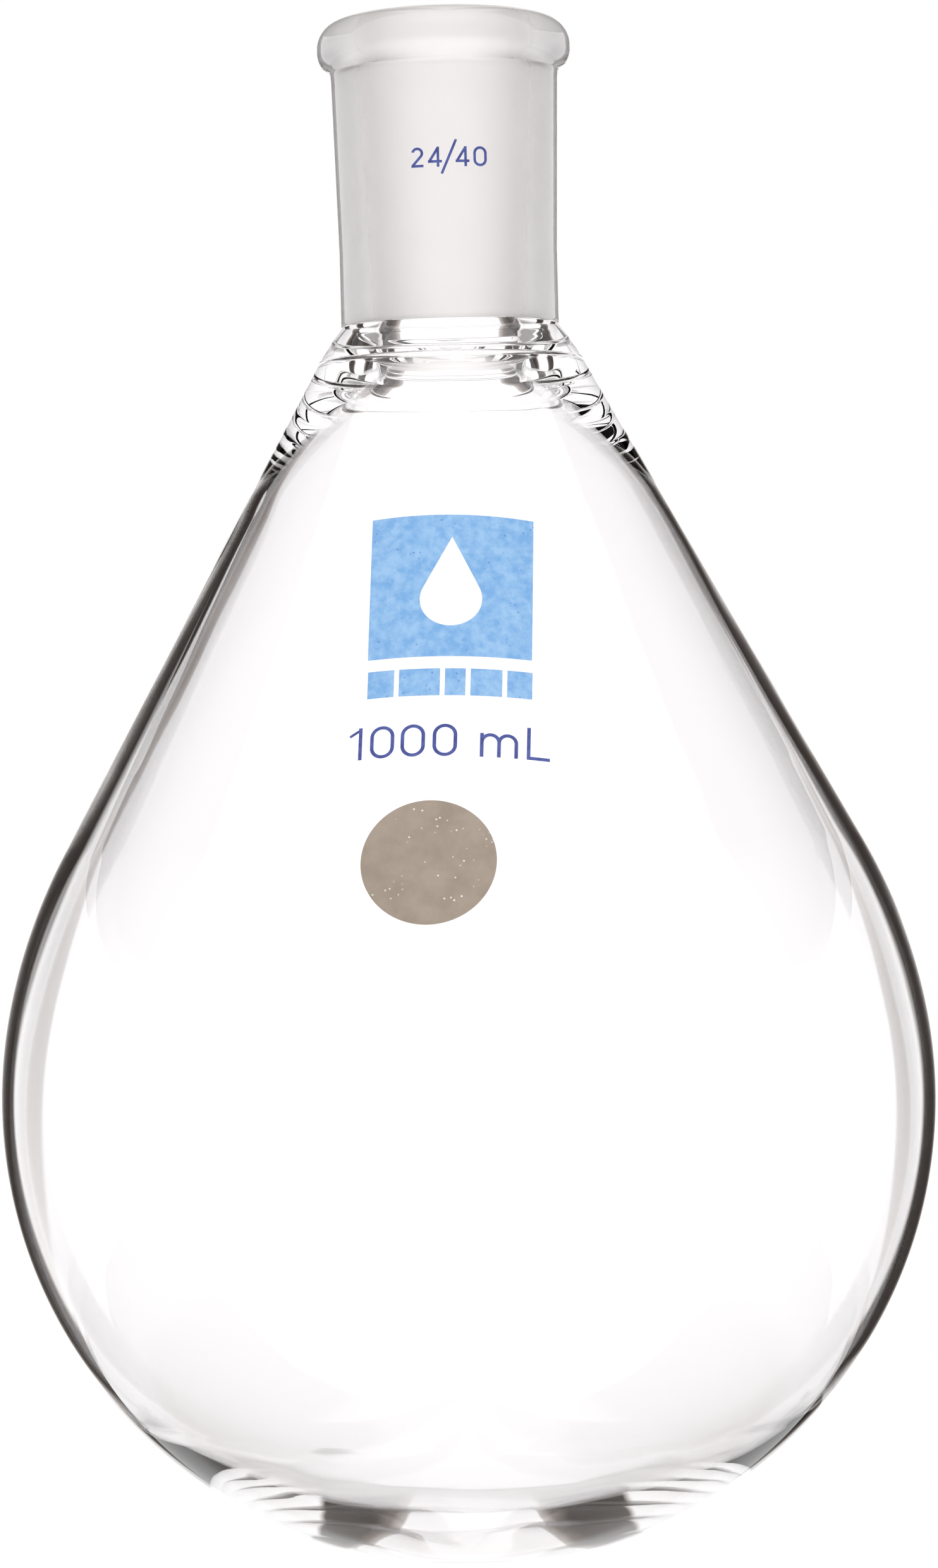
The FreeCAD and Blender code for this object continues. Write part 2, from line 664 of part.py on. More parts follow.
def emblem_faces(v):
    """A square panel, wrapped round the cone, with a plain drop left clear in its middle."""
    side = v["emblem_side"]
    drop_radius = side * 0.19
    low = -drop_radius * 0.5
    tip = drop_radius * 2.3
    touch = math.acos(drop_radius / tip)
    side_x = drop_radius * math.sin(touch)
    side_z = low + drop_radius * math.cos(touch)
    corners = [(0, low + tip), (-side_x, side_z), (side_x, side_z), (0, low + tip)]
    tail = Part.Face(Part.makePolygon([FreeCAD.Vector(x, 0, z) for x, z in corners]))
    drop = joined([disc((0, low), drop_radius), tail])
    panel = bar((-side / 2, 0), (side / 2, 0), side)
    return [wrap_face(panel.cut(drop).Faces[0], v["emblem_depth"], v)]


def strip_faces(v):
    """Five plain blocks in a row under the panel."""
    widths = [3.4, 5.2, 2.6, 4.0, 3.2]
    space = (v["emblem_side"] - sum(widths)) / (len(widths) - 1)
    blocks = [(width, space) for width in widths[:-1]] + [(widths[-1], 0)]
    row = row_of(blocks, lambda width: bar((0, 0), (width, 0), v["strip_height"]))
    return [wrap_face(face, v["strip_depth"], v) for face in row]


def capacity_faces(v):
    """The capacity, 1000 mL, in plain single strokes."""
    height = v["digit_height"]
    stroke = height * 0.1
    glyphs = [
        (0.35 * height, 0.225 * height, glyph_one),
        (0.67 * height, 0.175 * height, glyph_zero),
        (0.67 * height, 0.205 * height, glyph_zero),
        (0.67 * height, 0.62 * height, glyph_zero),
        (1.04 * height, 0.24 * height, glyph_m),
        (0.64 * height, 0.0, glyph_l),
    ]
    row = row_of(glyphs, lambda width, glyph: glyph(height, width, stroke))
    return [wrap_face(face, v["capacity_depth"], v) for face in row]


def spot_faces(v):
    """A round spot for pencil notes; seen face on, it is an ellipse because the glass slopes."""
    lean = math.radians(v["cone_half_angle"] - 3)
    centre = FreeCAD.Vector(0, 0, -v["spot_depth"])
    wide = centre + FreeCAD.Vector(v["spot_radius"], 0, 0)
    tall = centre + FreeCAD.Vector(0, 0, v["spot_radius"] * math.cos(lean))
    return [Part.Face(Part.Wire(Part.Ellipse(wide, tall, centre).toShape()))]


def joint_text_faces(v):
    """The joint's size, 24/40, on the neck."""
    height = v["joint_text_height"]
    stroke = height * 0.13
    glyphs = [
        (0.60 * height, 0.23 * height, glyph_two),
        (0.70 * height, -0.02 * height, glyph_four),
        (0.75 * height, -0.04 * height, glyph_slash),
        (0.70 * height, 0.20 * height, glyph_four),
        (0.68 * height, 0.0, glyph_zero),
    ]
    row = row_of(glyphs, lambda width, glyph: glyph(height, width, stroke))
    for face in row:
        face.translate(FreeCAD.Vector(0, 0, -v["joint_text_depth"]))
    return row


def make_print(doc, name, label, faces, film, azimuth_alias, v):
    """Cut the outlines out of a film and turn the result to its place round the axis."""
    outline = doc.addObject("Part::Feature", name + "Outline")
    outline.Shape = Part.makeCompound(faces)
    prism = doc.addObject("Part::Extrusion", name + "Prism")
    prism.Base = outline
    prism.DirMode = "Custom"
    prism.Dir = FreeCAD.Vector(0, -1, 0)
    prism.Solid = True
    prism.LengthFwd = v["print_reach"]
    prism.setExpression("LengthFwd", "Sizes.print_reach")
    enamel = doc.addObject("Part::Common", name)
    enamel.Label = label
    enamel.Base = prism
    enamel.Tool = film
    turned = FreeCAD.Rotation(FreeCAD.Vector(0, 0, 1), v[azimuth_alias])
    enamel.Placement = FreeCAD.Placement(FreeCAD.Vector(0, 0, 0), turned)
    enamel.setExpression("Placement.Rotation.Angle", "Sizes." + azimuth_alias)
    return enamel


def make_prints(doc, v):
    bulb_film = make_bulb_film(doc, v)
    neck_film = make_neck_film(doc, v)
    return [
        make_print(doc, "Emblem", "emblem_panel", emblem_faces(v), bulb_film, "emblem_azimuth", v),
        make_print(doc, "Strip", "plain_strip", strip_faces(v), bulb_film, "strip_azimuth", v),
        make_print(doc, "Capacity", "capacity_print", capacity_faces(v), bulb_film, "capacity_azimuth", v),
        make_print(doc, "Spot", "marking_spot", spot_faces(v), bulb_film, "spot_azimuth", v),
        make_print(doc, "JointText", "joint_size_print", joint_text_faces(v), neck_film, "joint_text_azimuth", v),
    ]


# ---------------------------------------------------------------- build and write

def check_document(doc, nodes):
    """Stop if any object failed to compute or any sub-part has no valid solid."""
    for item in doc.Objects:
        if "Invalid" in item.State or "Error" in item.State:
            raise RuntimeError("%s failed: %s" % (item.Name, item.State))
    for node in nodes:
        if node.Shape.isNull() or not node.Shape.isValid() or not node.Shape.Solids:
            raise RuntimeError("%s has no valid solid" % node.Label)


def write_parts(nodes):
    os.makedirs("parts", exist_ok=True)
    for node in nodes:
        node.Shape.exportStep(os.path.join("parts", node.Label + ".step"))
        volume = node.Shape.Volume / 1000
        print("%-18s %2d solid(s) %9.4f cm3" % (node.Label, len(node.Shape.Solids), volume))


def build():
    doc = FreeCAD.newDocument("EvaporatingFlask")
    make_sheet(doc)
    nodes = [make_joint_socket(doc, SIZES), make_fused_seal(doc, SIZES), make_pear_bulb(doc, SIZES)]
    nodes += make_prints(doc, SIZES)
    doc.recompute()
    check_document(doc, nodes)
    write_parts(nodes)
    return doc


build()
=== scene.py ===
import math

import bmesh
import bpy
from mathutils import Euler, Matrix, Vector, noise


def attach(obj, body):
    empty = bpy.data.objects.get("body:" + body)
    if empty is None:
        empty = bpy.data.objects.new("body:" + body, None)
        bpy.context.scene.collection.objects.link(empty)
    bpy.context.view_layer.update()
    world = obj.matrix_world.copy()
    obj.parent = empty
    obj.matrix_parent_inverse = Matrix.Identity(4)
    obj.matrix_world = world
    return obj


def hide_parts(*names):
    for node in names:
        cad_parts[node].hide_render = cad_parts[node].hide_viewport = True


# A one-litre pear-shaped evaporating flask with a 24/40 ground joint.
# The axis is Z, the mouth's centre is the origin and -Y is the printed side.
# Lengths in GLASS are millimetres, depths are measured down from the mouth and angles are degrees.

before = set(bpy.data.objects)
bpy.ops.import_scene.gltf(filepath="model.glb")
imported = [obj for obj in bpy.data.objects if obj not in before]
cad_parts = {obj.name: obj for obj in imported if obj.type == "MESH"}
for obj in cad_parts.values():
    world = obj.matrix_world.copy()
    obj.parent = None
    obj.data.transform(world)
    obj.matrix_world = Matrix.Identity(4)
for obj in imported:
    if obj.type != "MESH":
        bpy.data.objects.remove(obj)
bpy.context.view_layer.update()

MM = 0.001

GLASS = {
    "gauge_radius": 12.0,
    "ground_length": 40.0,
    "throat_radius": 10.0,
    "throat_end_depth": 43.0,
    "tube_end_depth": 41.0,
    "neck_top_radius": 15.15,
    "neck_low_radius": 14.55,
    "neck_straight_depth": 31.0,
    "bead_radius": 16.9,
    "bead_round": 3.8,
    "bead_land": 0.5,
    "bead_under_round": 3.4,
    "rim_round": 0.9,
    "seal_end_depth": 45.7,
    "seal_crown_radius": 35.0,
    "seal_lip_radius": 2.0,
    "seal_lip_turn": 35.0,
    "bulb_radius": 62.15,
    "bulb_centre_depth": 143.7,
    "bulb_top_radius": 17.66,
    "shoulder_radius": 74.0,
    "cone_half_angle": 28.84,
    "inner_shoulder_radius": 82.0,
    "inner_cone_half_angle": 28.2,
    "flare_end_depth": 64.0,
    "wall": 1.95,
    "cavity_drop": 1.2,
    "floor_thickness": 3.3,
    "floor_radius": 56.0,
    "floor_reach": 14.0,
    "slope_radius": 110.0,
    "knuckle_radius": 50.0,
}

AROUND = 288          # facets round the axis
STEP = 0.9            # spacing along a profile, mm
POLE = 0.35           # radius at which a lathe's end fan starts, mm
PROUD = 0.012         # the glass stands this far outside the CAD surface so that prints sit in it, mm
OFF_CENTRE = 0.28     # how far the cavity sits to one side, mm

CAMERA_DISTANCE = 0.6968
CAMERA_HEIGHT = -0.1021
CAMERA_SIDE = 0.00103
CAMERA_ROLL = -1.4
CAMERA_LENS = 119.9


# ---------------------------------------------------------------- profiles

def spread(start, end, step=STEP):
    """Points of a straight run, without its last point."""
    count = max(1, math.ceil(math.dist(start, end) / step))
    return [
        (start[0] + (end[0] - start[0]) * i / count, start[1] + (end[1] - start[1]) * i / count)
        for i in range(count)
    ]


def arc(centre, radius, start, end, step=STEP):
    """Points of an arc from one angle to another, in degrees, without its last point."""
    count = max(4, math.ceil(abs(math.radians(end - start)) * radius / step))
    angles = [math.radians(start + (end - start) * i / count) for i in range(count)]
    return [(centre[0] + radius * math.cos(a), centre[1] + radius * math.sin(a)) for a in angles]


def turned(centre, radius, degrees):
    angle = math.radians(degrees)
    return centre[0] + radius * math.cos(angle), centre[1] + radius * math.sin(angle)


def socket_profile(g):
    """The joint tube's wall, from the foot's inner edge up the bore, over the bead and down outside."""
    fine = 0.25
    slope = math.degrees(math.atan((g["gauge_radius"] - g["throat_radius"]) / g["ground_length"]))
    half_corner = math.radians((90 + slope) / 2)
    inset = g["rim_round"] / math.tan(half_corner)
    rim_centre = (g["gauge_radius"] + inset, -g["rim_round"])
    rim_low = turned(rim_centre, g["rim_round"], 180 - slope)
    bead_centre = (g["bead_radius"] - g["bead_round"], -g["bead_round"])
    land_end = (g["bead_radius"], bead_centre[1] - g["bead_land"])
    under_centre = (land_end[0] - g["bead_under_round"], land_end[1])
    under_reach = g["neck_top_radius"] - under_centre[0]
    under_turn = math.degrees(math.acos(under_reach / g["bead_under_round"]))
    neck_start = turned(under_centre, g["bead_under_round"], -under_turn)
    neck_low = (g["neck_low_radius"], -g["neck_straight_depth"])
    foot_in = (g["throat_radius"], -g["tube_end_depth"])
    foot_out = (g["neck_low_radius"], -g["tube_end_depth"])
    ground_end = (g["throat_radius"], -g["ground_length"])
    points = spread(foot_in, ground_end, fine)
    points += spread(ground_end, rim_low)
    points += arc(rim_centre, g["rim_round"], 180 - slope, 90, 0.12)
    points += spread((rim_centre[0], 0.0), (bead_centre[0], 0.0), fine)
    points += arc(bead_centre, g["bead_round"], 90, 0, fine)
    points += spread((g["bead_radius"], bead_centre[1]), land_end, fine)
    points += arc(under_centre, g["bead_under_round"], 0, -under_turn, fine)
    points += spread(neck_start, neck_low)
    points += spread(neck_low, foot_out)
    return points + [foot_out]


def seal_crown(g):
    """Centre and end angles of the arc that swells out from the tube to the bulb."""
    top = (g["neck_low_radius"], -g["tube_end_depth"])
    low = (g["bulb_top_radius"], -g["seal_end_depth"])
    along = (top[0] - low[0], top[1] - low[1])
    length = math.hypot(*along)
    drop = math.sqrt(g["seal_crown_radius"] ** 2 - (length / 2) ** 2) / length
    centre = ((top[0] + low[0]) / 2 - along[1] * drop, (top[1] + low[1]) / 2 + along[0] * drop)
    start = math.degrees(math.atan2(top[1] - centre[1], top[0] - centre[0]))
    end = math.degrees(math.atan2(low[1] - centre[1], low[0] - centre[0]))
    return centre, start, end


def seal_corner(g):
    """Where the flared lip meets the bulb's cavity, and the lip's own end."""
    lip_centre = (g["throat_radius"] + g["seal_lip_radius"], -g["throat_end_depth"])
    lip_end = turned(lip_centre, g["seal_lip_radius"], 180 + g["seal_lip_turn"])
    away = math.radians(g["seal_lip_turn"])
    reach = (g["seal_end_depth"] + lip_end[1]) / math.cos(away)
    return lip_centre, lip_end, (lip_end[0] + math.sin(away) * reach, -g["seal_end_depth"])


def seal_profiles(g):
    """Inner run from the bulb up to the tube, and outer run from the tube down to the bulb."""
    lip_centre, lip_end, corner = seal_corner(g)
    inner = spread(corner, lip_end, 0.2)
    inner += arc(lip_centre, g["seal_lip_radius"], 180 + g["seal_lip_turn"], 180, 0.15)
    throat_top = (g["throat_radius"], -g["tube_end_depth"])
    inner += spread((g["throat_radius"], -g["throat_end_depth"]), throat_top, 0.25)
    inner += [throat_top]
    centre, start, end = seal_crown(g)
    outer = arc(centre, g["seal_crown_radius"], start, end, 0.25)
    outer += [(g["bulb_top_radius"], -g["seal_end_depth"])]
    return inner, outer


def shoulder(g):
    """Centre and start angle of the shoulder arc between the round of the bulb and its cone."""
    lean = math.radians(g["cone_half_angle"])
    drop = g["bulb_centre_depth"] - g["seal_end_depth"]
    reach = g["bulb_top_radius"] * math.cos(lean) + drop * math.sin(lean)
    offset = g["shoulder_radius"] - g["bulb_radius"]
    lift = g["cone_half_angle"] - math.degrees(math.acos((g["shoulder_radius"] - reach) / offset))
    return turned((0.0, -g["bulb_centre_depth"]), -offset, lift), lift


def bulb_outer(g):
    """Outside of the bulb from the seal down to near the lowest point."""
    centre, lift = shoulder(g)
    lean = g["cone_half_angle"]
    ball = (0.0, -g["bulb_centre_depth"])
    cone_top = (g["bulb_top_radius"], -g["seal_end_depth"])
    points = spread(cone_top, turned(centre, g["shoulder_radius"], lean))
    points += arc(centre, g["shoulder_radius"], lean, lift)
    stop = -90 + math.degrees(POLE / g["bulb_radius"])
    points += arc(ball, g["bulb_radius"], lift, stop)
    return points + [turned(ball, g["bulb_radius"], stop)]


def angle_of(centre, place):
    return math.degrees(math.atan2(place[1] - centre[1], place[0] - centre[0]))


def cavity_centres(g):
    """Centres of the floor, slope, knuckle, ball and inner shoulder arcs, which touch one another."""
    lowest = -g["bulb_centre_depth"] - g["bulb_radius"] + g["floor_thickness"]
    floor = (0.0, lowest + g["floor_radius"])
    floor_end = math.degrees(math.asin(g["floor_reach"] / g["floor_radius"])) - 90
    slope = turned(floor, -(g["slope_radius"] - g["floor_radius"]), floor_end)
    ball = (0.0, -g["bulb_centre_depth"] - g["cavity_drop"])
    ball_radius = g["bulb_radius"] - g["wall"]
    apart = math.dist(slope, ball)
    from_slope = g["slope_radius"] - g["knuckle_radius"]
    from_ball = ball_radius - g["knuckle_radius"]
    along = (from_slope ** 2 - from_ball ** 2 + apart ** 2) / (2 * apart)
    across = math.sqrt(from_slope ** 2 - along ** 2)
    toward = ((ball[0] - slope[0]) / apart, (ball[1] - slope[1]) / apart)
    knuckle = (
        slope[0] + toward[0] * along - toward[1] * across,
        slope[1] + toward[1] * along + toward[0] * across)
    lift = shoulder(g)[1]
    wide = turned(ball, ball_radius - g["inner_shoulder_radius"], lift)
    return floor, floor_end, slope, knuckle, ball, ball_radius, wide, lift


def flare_arc(cone_end, lean, corner):
    """The arc that leaves the cone at its upper end and turns in to the seal's corner."""
    normal = (-math.cos(math.radians(lean)), -math.sin(math.radians(lean)))
    chord = (corner[0] - cone_end[0], corner[1] - cone_end[1])
    radius = (chord[0] ** 2 + chord[1] ** 2) / (2 * (chord[0] * normal[0] + chord[1] * normal[1]))
    centre = (cone_end[0] + normal[0] * radius, cone_end[1] + normal[1] * radius)
    return centre, radius


def bulb_inner(g):
    """Inside of the bulb from near the floor's middle up to the seal."""
    floor, floor_end, slope, knuckle, ball, ball_radius, wide, lift = cavity_centres(g)
    slope_end = angle_of(slope, knuckle)
    knuckle_end = angle_of(ball, knuckle)
    lean = g["inner_cone_half_angle"]
    start = -90 + math.degrees(POLE / g["floor_radius"])
    cone_start = turned(wide, g["inner_shoulder_radius"], lean)
    rise = -g["flare_end_depth"] - cone_start[1]
    cone_end = (cone_start[0] - rise * math.tan(math.radians(lean)), cone_start[1] + rise)
    corner = seal_corner(g)[2]
    flare, flare_radius = flare_arc(cone_end, lean, corner)
    points = arc(floor, g["floor_radius"], start, floor_end)
    points += arc(slope, g["slope_radius"], floor_end, slope_end)
    points += arc(knuckle, g["knuckle_radius"], slope_end, knuckle_end)
    points += arc(ball, ball_radius, knuckle_end, lift)
    points += arc(wide, g["inner_shoulder_radius"], lift, lean)
    points += spread(cone_start, cone_end)
    points += arc(flare, flare_radius, lean, angle_of(flare, corner), 0.4)
    return points + [corner]


# ---------------------------------------------------------------- lathe

def ease(value):
    return min(1.0, max(0.0, value))


def wobble(position, strength):
    """Blown glass is uneven inside: slow ripples, longer along the flask than round it."""
    slow = noise.noise(Vector((position.x * 28, position.y * 28, position.z * 13 + 4.1)))
    fast = noise.noise(Vector((position.x * 70 + 9.0, position.y * 70, position.z * 31)))
    return (slow + 0.35 * fast) * strength


def streaks(position):
    """Fine uneven lines that run down the cone from the seal, in millimetres."""
    z_mm = position.z / MM
    fade = ease((z_mm + 118) / 40.0)
    fine = noise.noise(Vector((position.x * 190, position.y * 190, position.z * 4 + 2.3)))
    return fine * 0.02 * fade


def inner_strength(z_mm):
    """How uneven the cavity's wall is at a height, in millimetres."""
    calm = min(1.0, max(0.15, (-z_mm - 58) / 35.0))
    near_floor = 1 / (1 + math.exp((z_mm + 178) / 5.0))
    return 0.10 * calm + 0.12 * near_floor


def ring(radius_mm, height_mm, move=None):
    """Corner places of one ring of a lathe, in metres."""
    places = []
    for i in range(AROUND):
        angle = 2 * math.pi * i / AROUND
        out = Vector((math.cos(angle), math.sin(angle), 0.0))
        place = out * radius_mm * MM + Vector((0, 0, height_mm * MM))
        if move:
            place = move(place, out)
        places.append(place)
    return places


def lathe(name, rings, closed, caps=(), hidden=()):
    """A mesh from a list of rings. closed joins the last ring to the first.

    caps are (ring number, centre, flipped) fans, hidden are the ring gaps that get the second material."""
    verts = [place for places in rings for place in places]
    faces = []
    second = []
    gaps = [(i, i + 1) for i in range(len(rings) - 1)]
    if closed:
        gaps.append((len(rings) - 1, 0))
    for number, (a, b) in enumerate(gaps):
        for i in range(AROUND):
            j = (i + 1) % AROUND
            faces.append((a * AROUND + i, b * AROUND + i, b * AROUND + j, a * AROUND + j))
            second.append(number in hidden)
    for number, centre, flip in caps:
        verts.append(centre)
        middle = len(verts) - 1
        for i in range(AROUND):
            j = (i + 1) % AROUND
            pair = (number * AROUND + i, number * AROUND + j)
            faces.append((pair[1], pair[0], middle) if flip else (pair[0], pair[1], middle))
            second.append(False)
    mesh = bpy.data.meshes.new(name)
    mesh.from_pydata(verts, [], faces)
    mesh.validate()
    mesh.update()
    for polygon, flag in zip(mesh.polygons, second):
        polygon.use_smooth = True
        polygon.material_index = 1 if flag else 0
    piece = bpy.data.objects.new(name, mesh)
    bpy.context.scene.collection.objects.link(piece)
    return piece


def inner_move(place, out):
    """Ripples of the cavity's wall, which is a little off centre above the belly."""
    z_mm = place.z / MM
    shift = (wobble(place, inner_strength(z_mm)) + streaks(place)) * MM
    fade = ease((-z_mm - 46.5) / 6.0)
    off_centre = Vector((OFF_CENTRE * MM, 0.0, 0.0))
    off_centre *= ease((-z_mm - 46.5) / 20.0) * ease((z_mm + 130) / 30.0)
    if z_mm < -185:
        lift = wobble(place + Vector((0.3, 0, 0)), 0.25) * MM
        return place + Vector((0, 0, lift)) + off_centre
    return place + out * shift * fade + off_centre


def make_bulb(g):
    outer = [ring(r + PROUD, z) for r, z in bulb_outer(g)]
    inner = [ring(r, z, inner_move) for r, z in bulb_inner(g)]
    low = Vector((0, 0, -(g["bulb_centre_depth"] + g["bulb_radius"]) * MM))
    floor = sum(inner[0], Vector()) / AROUND
    seam = len(outer) + len(inner) - 1
    piece = lathe(
        "bulb_glass", outer + inner, closed=True,
        caps=((len(outer) - 1, low, False), (len(outer), floor, True)), hidden=(seam,))
    outward(piece, drop=len(outer) - 1)
    return piece


def outward(piece, drop=None):
    """Turns every face of a closed piece to look outwards.

    drop is a ring gap whose faces go first: there the outside and the cavity end, each with its own cap."""
    shape = bmesh.new()
    shape.from_mesh(piece.data)
    if drop is not None:
        shape.faces.ensure_lookup_table()
        unwanted = shape.faces[drop * AROUND:(drop + 1) * AROUND]
        bmesh.ops.delete(shape, geom=unwanted, context="FACES")
    bmesh.ops.recalc_face_normals(shape, faces=shape.faces)
    shape.to_mesh(piece.data)
    shape.free()


def seal_move(place, out):
    """The melted lip is uneven too, but keeps its ends."""
    z_mm = place.z / MM
    fade = ease((-z_mm - 41.4) / 1.2) * ease((z_mm + 45.6) / 0.8)
    return place + out * wobble(place, 0.2) * MM * fade


def make_seal(g):
    inner, outer = seal_profiles(g)
    rings = [ring(r, z, seal_move) for r, z in inner] + [ring(r + PROUD, z) for r, z in outer]
    piece = lathe("seal_glass", rings, closed=True, hidden=(len(inner) - 1, len(rings) - 1))
    outward(piece)
    return piece


def make_socket(g):
    points = socket_profile(g)
    rings = []
    for r, z in points:
        bore = r < g["gauge_radius"] + 0.7 and z < -0.4
        rings.append(ring(r if bore else r + PROUD, z))
    piece = lathe("socket_glass", rings, closed=True, hidden=(len(rings) - 1,))
    outward(piece)
    return piece


# ---------------------------------------------------------------- materials

def new_material(name):
    material = bpy.data.materials.new(name)
    material.use_nodes = True
    tree = material.node_tree
    shader = tree.nodes["Principled BSDF"]
    return material, tree, shader


def noise_node(tree, scale, detail=2.0, rough=0.5):
    place = tree.nodes.new("ShaderNodeTexCoord")
    texture = tree.nodes.new("ShaderNodeTexNoise")
    texture.inputs["Scale"].default_value = scale
    texture.inputs["Detail"].default_value = detail
    texture.inputs["Roughness"].default_value = rough
    tree.links.new(place.outputs["Object"], texture.inputs["Vector"])
    return texture


def ramp(tree, source, stops):
    """A colour ramp: stops are (position, colour) pairs."""
    node = tree.nodes.new("ShaderNodeValToRGB")
    elements = node.color_ramp.elements
    while len(elements) < len(stops):
        elements.new(0.5)
    for element, (position, colour) in zip(elements, stops):
        element.position = position
        element.color = (*colour, 1.0)
    tree.links.new(source, node.inputs["Fac"])
    return node.outputs["Color"]


GLASS_IOR = 1.473


def clear_glass():
    material, tree, shader = new_material("clear_glass")
    shader.inputs["Transmission Weight"].default_value = 1.0
    shader.inputs["IOR"].default_value = GLASS_IOR
    shader.inputs["Roughness"].default_value = 0.0
    tint = noise_node(tree, 14.0)
    colour = ramp(
        tree, tint.outputs["Fac"], [(0.3, (0.985, 0.98, 0.985)), (0.7, (0.995, 0.99, 0.995))])
    tree.links.new(colour, shader.inputs["Base Color"])
    return material


def ground_glass():
    material, tree, shader = new_material("ground_glass")
    shader.inputs["Transmission Weight"].default_value = 1.0
    shader.inputs["IOR"].default_value = GLASS_IOR
    grain = noise_node(tree, 220.0, 4.0)
    rough = tree.nodes.new("ShaderNodeMapRange")
    rough.inputs["To Min"].default_value = 0.42
    rough.inputs["To Max"].default_value = 0.60
    tree.links.new(grain.outputs["Fac"], rough.inputs["Value"])
    tree.links.new(rough.outputs["Result"], shader.inputs["Roughness"])
    colour = ramp(
        tree, grain.outputs["Fac"], [(0.3, (0.97, 0.945, 0.93)), (0.7, (0.995, 0.98, 0.97))])
    tree.links.new(colour, shader.inputs["Base Color"])
    return material


def inside_of_glass():
    """The joining faces between two glass pieces: nothing to see there, as the glass is one."""
    material, _, shader = new_material("joined_glass")
    shader.inputs["Alpha"].default_value = 0.0
    return material


def enamel(name, dark, light, speck, scale):
    """Mottled matt enamel, with clusters of small specks if speck is a colour."""
    material, tree, shader = new_material(name)
    shader.inputs["Roughness"].default_value = 0.45
    mottle = noise_node(tree, scale, 3.0, 0.6)
    base = ramp(tree, mottle.outputs["Fac"], [(0.36, dark), (0.64, light)])
    if speck:
        dots = tree.nodes.new("ShaderNodeTexVoronoi")
        dots.inputs["Scale"].default_value = 1300.0
        place = tree.nodes.new("ShaderNodeTexCoord")
        tree.links.new(place.outputs["Object"], dots.inputs["Vector"])
        mask = ramp(tree, dots.outputs["Distance"], [(0.10, (1, 1, 1)), (0.22, (0, 0, 0))])
        few = noise_node(tree, 420.0, 1.0)
        gate = ramp(tree, few.outputs["Fac"], [(0.56, (0, 0, 0)), (0.60, (1, 1, 1))])
        both = tree.nodes.new("ShaderNodeMath")
        both.operation = "MULTIPLY"
        tree.links.new(mask, both.inputs[0])
        tree.links.new(gate, both.inputs[1])
        mix = tree.nodes.new("ShaderNodeMix")
        mix.data_type = "RGBA"
        tree.links.new(both.outputs[0], mix.inputs["Factor"])
        tree.links.new(base, mix.inputs["A"])
        mix.inputs["B"].default_value = (*speck, 1.0)
        base = mix.outputs["Result"]
    tree.links.new(base, shader.inputs["Base Color"])
    return material


def emissive(name, strength):
    material = bpy.data.materials.new(name)
    material.use_nodes = True
    tree = material.node_tree
    tree.nodes.clear()
    light = tree.nodes.new("ShaderNodeEmission")
    light.inputs["Strength"].default_value = strength
    out = tree.nodes.new("ShaderNodeOutputMaterial")
    tree.links.new(light.outputs[0], out.inputs["Surface"])
    return material


# ---------------------------------------------------------------- glass pieces

CLEAR = clear_glass()
GROUND = ground_glass()
JOINED = inside_of_glass()


def finish_glass(piece, node):
    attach(piece, "root")
    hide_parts(node)


bulb = make_bulb(GLASS)
bulb.data.materials.append(CLEAR)
bulb.data.materials.append(JOINED)
finish_glass(bulb, "pear_bulb")

seal = make_seal(GLASS)
seal.data.materials.append(CLEAR)
seal.data.materials.append(JOINED)
finish_glass(seal, "fused_seal")

socket = make_socket(GLASS)
socket.data.materials.append(CLEAR)
socket.data.materials.append(JOINED)
socket.data.materials.append(GROUND)
for polygon in socket.data.polygons:
    middle = polygon.center
    across = math.hypot(middle.x, middle.y) / MM
    depth = -middle.z / MM
    bore = GLASS["gauge_radius"] - depth / 20
    if abs(across - bore) < 0.25 and 0.8 < depth < GLASS["ground_length"]:
        polygon.material_index = 2
finish_glass(socket, "joint_socket")


# ---------------------------------------------------------------- enamel prints

PALE_BLUE = enamel(
    "pale_blue_enamel", (0.17, 0.39, 0.72), (0.30, 0.52, 0.80), (0.10, 0.24, 0.55), 700.0)
DARK_BLUE = enamel("dark_blue_enamel", (0.03, 0.045, 0.24), (0.07, 0.10, 0.36), None, 900.0)
WRITING = enamel(
    "writing_enamel", (0.30, 0.245, 0.19), (0.36, 0.30, 0.24), (0.80, 0.78, 0.75), 260.0)

for node_name, material in (
        ("emblem_panel", PALE_BLUE), ("plain_strip", PALE_BLUE), ("capacity_print", DARK_BLUE),
        ("joint_size_print", DARK_BLUE), ("marking_spot", WRITING)):
    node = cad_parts[node_name]
    node.data.materials.clear()
    node.data.materials.append(material)


# ---------------------------------------------------------------- studio

def make_camera():
    data = bpy.data.cameras.new("camera")
    data.lens = CAMERA_LENS
    data.sensor_width = 36.0
    camera = bpy.data.objects.new("camera", data)
    bpy.context.scene.collection.objects.link(camera)
    camera.location = (CAMERA_SIDE, -CAMERA_DISTANCE, CAMERA_HEIGHT)
    level = Euler((math.radians(90), 0, 0)).to_matrix()
    camera.rotation_euler = (level @ Matrix.Rotation(math.radians(CAMERA_ROLL), 3, "Z")).to_euler()
    bpy.context.scene.camera = camera
    return camera


BACKDROP_EDGE = 0.222  # tangent of the half width of the white paper behind the flask
FLOOR_RATIO = 2.28     # the same paper's distance behind, over its depth below
ROOM_EDGE = 0.66       # tangent of the direction where the bright side walls start
DOME_RADIUS = 8.0
DOME_AHEAD = 1.1
BOUNCES = 24           # light caught in the floor's wedge needs more, so the wedge's ends stay dark


STEEP_DOWN = 0.36      # sine of the angle below level past which there are no dark cards
HIGH_UP = 0.30         # sine of the angle above level where the dark ceiling starts


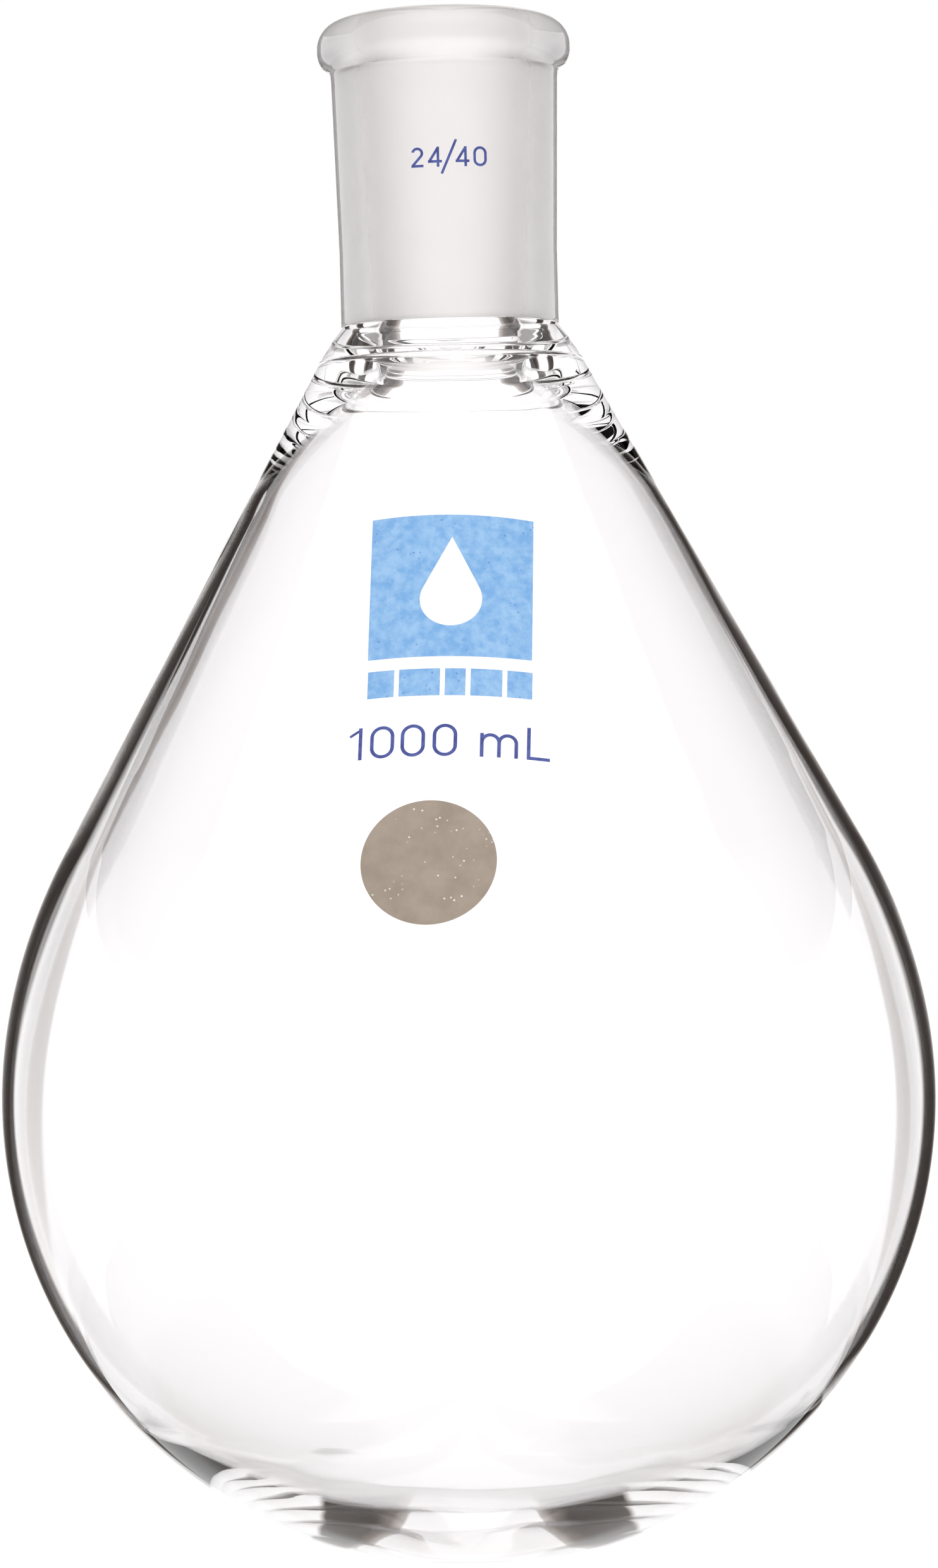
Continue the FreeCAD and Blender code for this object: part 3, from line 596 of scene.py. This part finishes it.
def math_node(tree, kind, first, second=None):
    node = tree.nodes.new("ShaderNodeMath")
    node.operation = kind
    for socket_in, value in zip(node.inputs, (first, second)):
        if value is None:
            continue
        if isinstance(value, (int, float)):
            socket_in.default_value = value
        else:
            tree.links.new(value, socket_in)
    return node.outputs[0]


def greys(*stops):
    return [(position, (value, value, value)) for position, value in stops]


def dome_material():
    """White paper behind and below, a dark card at each side of it, and a dark ceiling at the sides."""
    material = bpy.data.materials.new("studio_dome")
    material.use_nodes = True
    tree = material.node_tree
    tree.nodes.clear()
    place = tree.nodes.new("ShaderNodeTexCoord")
    parts = tree.nodes.new("ShaderNodeSeparateXYZ")
    tree.links.new(place.outputs["Object"], parts.inputs["Vector"])
    across = math_node(tree, "ABSOLUTE", parts.outputs["X"])
    ahead = math_node(tree, "MULTIPLY", parts.outputs["Z"], -1.0)
    down = math_node(tree, "MULTIPLY", parts.outputs["Y"], -1.0)
    sunk = math_node(tree, "DIVIDE", down, DOME_RADIUS)
    front = math_node(tree, "GREATER_THAN", ahead, 0.0)

    far = math_node(tree, "MAXIMUM", ahead, math_node(tree, "MULTIPLY", down, FLOOR_RATIO))
    slope = math_node(tree, "DIVIDE", across, math_node(tree, "MAXIMUM", far, 0.001))
    cards = ramp(tree, slope, greys(
        (BACKDROP_EDGE - 0.004, 0.93), (BACKDROP_EDGE + 0.004, 0.5),
        (BACKDROP_EDGE + 0.05, 0.15), (BACKDROP_EDGE + 0.11, 0.035),
        (ROOM_EDGE - 0.03, 0.03), (ROOM_EDGE + 0.03, 0.97)))
    steep = math_node(tree, "GREATER_THAN", sunk, STEEP_DOWN)
    behind_flask = math_node(tree, "MULTIPLY", math_node(tree, "MAXIMUM", cards, steep), front)
    behind_camera = math_node(tree, "MULTIPLY", math_node(tree, "SUBTRACT", 1.0, front), 0.97)

    below = ramp(tree, sunk, greys(
        (0.345, 1.25), (0.355, 0.93), (0.55, 0.90), (0.62, 0.60), (0.80, 0.35), (1.0, 0.25)))
    level = math_node(tree, "MULTIPLY", math_node(tree, "ADD", behind_flask, behind_camera), below)

    high = math_node(tree, "LESS_THAN", sunk, -HIGH_UP)
    aside = ramp(tree, math_node(tree, "DIVIDE", across, DOME_RADIUS), greys((0.28, 0.0), (0.36, 0.95)))
    ceiling = math_node(tree, "MULTIPLY", math_node(tree, "MULTIPLY", high, aside), front)
    level = math_node(tree, "MULTIPLY", level, math_node(tree, "SUBTRACT", 1.0, ceiling))

    light = tree.nodes.new("ShaderNodeEmission")
    tone = ramp(tree, level, [(0.0, (1.0, 0.84, 0.74)), (0.9, (1.0, 0.99, 0.99))])
    tree.links.new(tone, light.inputs["Color"])
    tree.links.new(level, light.inputs["Strength"])
    out = tree.nodes.new("ShaderNodeOutputMaterial")
    tree.links.new(light.outputs[0], out.inputs["Surface"])
    return material


def make_dome(camera):
    bpy.ops.mesh.primitive_uv_sphere_add(segments=96, ring_count=48, radius=DOME_RADIUS)
    dome = bpy.context.object
    dome.name = "studio_dome"
    dome.data.materials.append(dome_material())
    dome.parent = camera
    dome.location = (0, 0, -DOME_AHEAD)
    dome.visible_camera = False
    dome.visible_shadow = False
    return dome


def make_floor():
    low = -(GLASS["bulb_centre_depth"] + GLASS["bulb_radius"]) * MM
    bpy.ops.mesh.primitive_plane_add(size=40.0, location=(0, 0, low - 0.0002))
    floor = bpy.context.object
    floor.name = "studio_floor"
    floor.data.materials.append(emissive("pale_floor", 1.0))
    floor.visible_glossy = False
    floor.visible_transmission = False
    floor.visible_diffuse = False
    floor.visible_shadow = False
    return floor


def make_world():
    world = bpy.data.worlds.new("studio")
    world.use_nodes = True
    world.node_tree.nodes["Background"].inputs["Color"].default_value = (1, 1, 1, 1)
    world.node_tree.nodes["Background"].inputs["Strength"].default_value = 1.0
    bpy.context.scene.world = world


camera = make_camera()
make_dome(camera)
make_floor()
make_world()

scene = bpy.context.scene
scene.view_settings.view_transform = "Standard"
scene.cycles.max_bounces = BOUNCES
scene.cycles.transmission_bounces = BOUNCES
scene.cycles.glossy_bounces = BOUNCES
scene.cycles.transparent_max_bounces = BOUNCES
